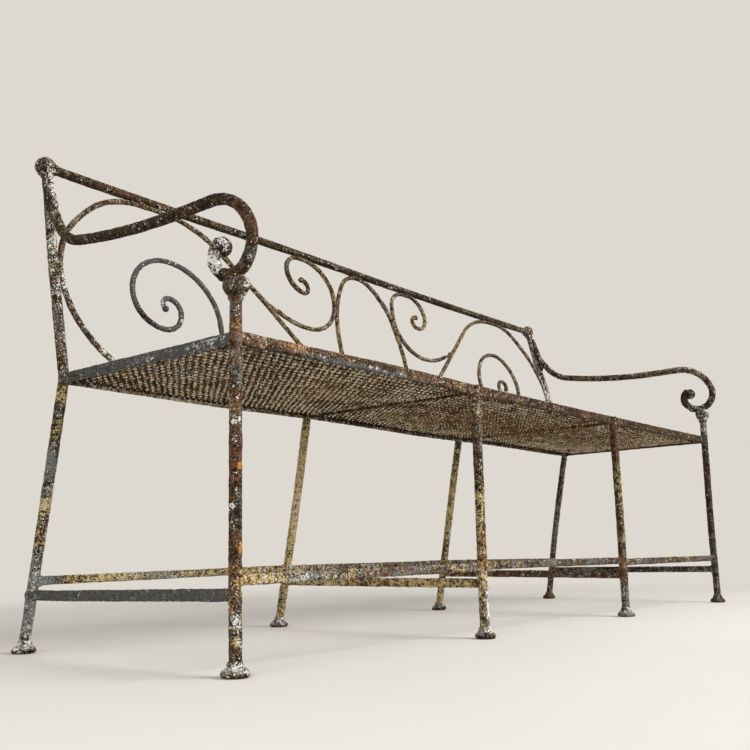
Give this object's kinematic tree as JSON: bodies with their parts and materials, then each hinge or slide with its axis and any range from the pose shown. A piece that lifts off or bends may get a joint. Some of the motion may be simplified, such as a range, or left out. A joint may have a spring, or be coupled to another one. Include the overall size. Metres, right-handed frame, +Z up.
{
  "type": "garden bench",
  "caption": "Long wrought iron garden bench with a woven wire seat, rolled arms, ball finials and a leaning back of arch, loops and scrolls, on round bar legs with turned feet.",
  "frame": {"origin": "on the floor, under the middle of the bench's outer box", "axes": "+X along the bench, to the right as seen from the front; +Y to the back; +Z up"},
  "size_m": [1.728, 0.5879, 0.8575],
  "materials": {
    "rail_paint": "old dark brown paint over rust, with fine pale flecks",
    "leg_paint": "old paint layers in ochre, cream and grey, flaking to brown rust",
    "slate_paint": "smooth slate grey paint with a few pale specks",
    "seat_paint": "brown and grey paint with ochre rust patches",
    "scroll_paint": "brown paint worn to ochre, flecked",
    "foot_paint": "pale grey paint, flaked, dark at the floor",
    "seat_wire": "brown and grey paint on woven wire, pale on the crowns"
  },
  "bodies": {
    "root": {"arm_left": "rail_paint", "arm_right": "rail_paint", "back_leg_left": "leg_paint", "back_leg_left_foot": "foot_paint", "back_leg_right": "leg_paint", "back_leg_right_foot": "foot_paint", "back_loop_left": "scroll_paint", "back_loop_right": "scroll_paint", "back_post_left": "leg_paint", "back_post_left_foot": "foot_paint", "back_post_right": "leg_paint", "back_post_right_foot": "foot_paint", "back_stretcher_left": "leg_paint", "back_stretcher_middle": "leg_paint", "back_stretcher_right": "leg_paint", "centre_arch": "scroll_paint", "cross_stretcher_end_left": "slate_paint", "cross_stretcher_end_right": "leg_paint", "cross_stretcher_inner_left": "leg_paint", "cross_stretcher_inner_right": "leg_paint", "end_spiral_left": "slate_paint", "end_spiral_right": "scroll_paint", "finial_left": "rail_paint", "finial_right": "rail_paint", "front_ball_left": "rail_paint", "front_ball_right": "rail_paint", "front_leg_left": "leg_paint", "front_leg_left_foot": "foot_paint", "front_leg_right": "leg_paint", "front_leg_right_foot": "foot_paint", "front_post_left": "leg_paint", "front_post_left_foot": "foot_paint", "front_post_right": "leg_paint", "front_post_right_foot": "foot_paint", "front_stretcher_left": "leg_paint", "front_stretcher_middle": "leg_paint", "front_stretcher_right": "leg_paint", "s_scroll_left": "scroll_paint", "s_scroll_right": "scroll_paint", "scroll_welds": "scroll_paint", "seat_cross_bar_left": "seat_paint", "seat_cross_bar_right": "seat_paint", "seat_mesh_left": "seat_wire", "seat_mesh_middle": "seat_wire", "seat_mesh_right": "seat_wire", "seat_rail_back": "seat_paint", "seat_rail_front": "seat_paint", "seat_rail_left": "slate_paint", "seat_rail_right": "seat_paint", "top_rail": "rail_paint"}
  },
  "joints": []
}
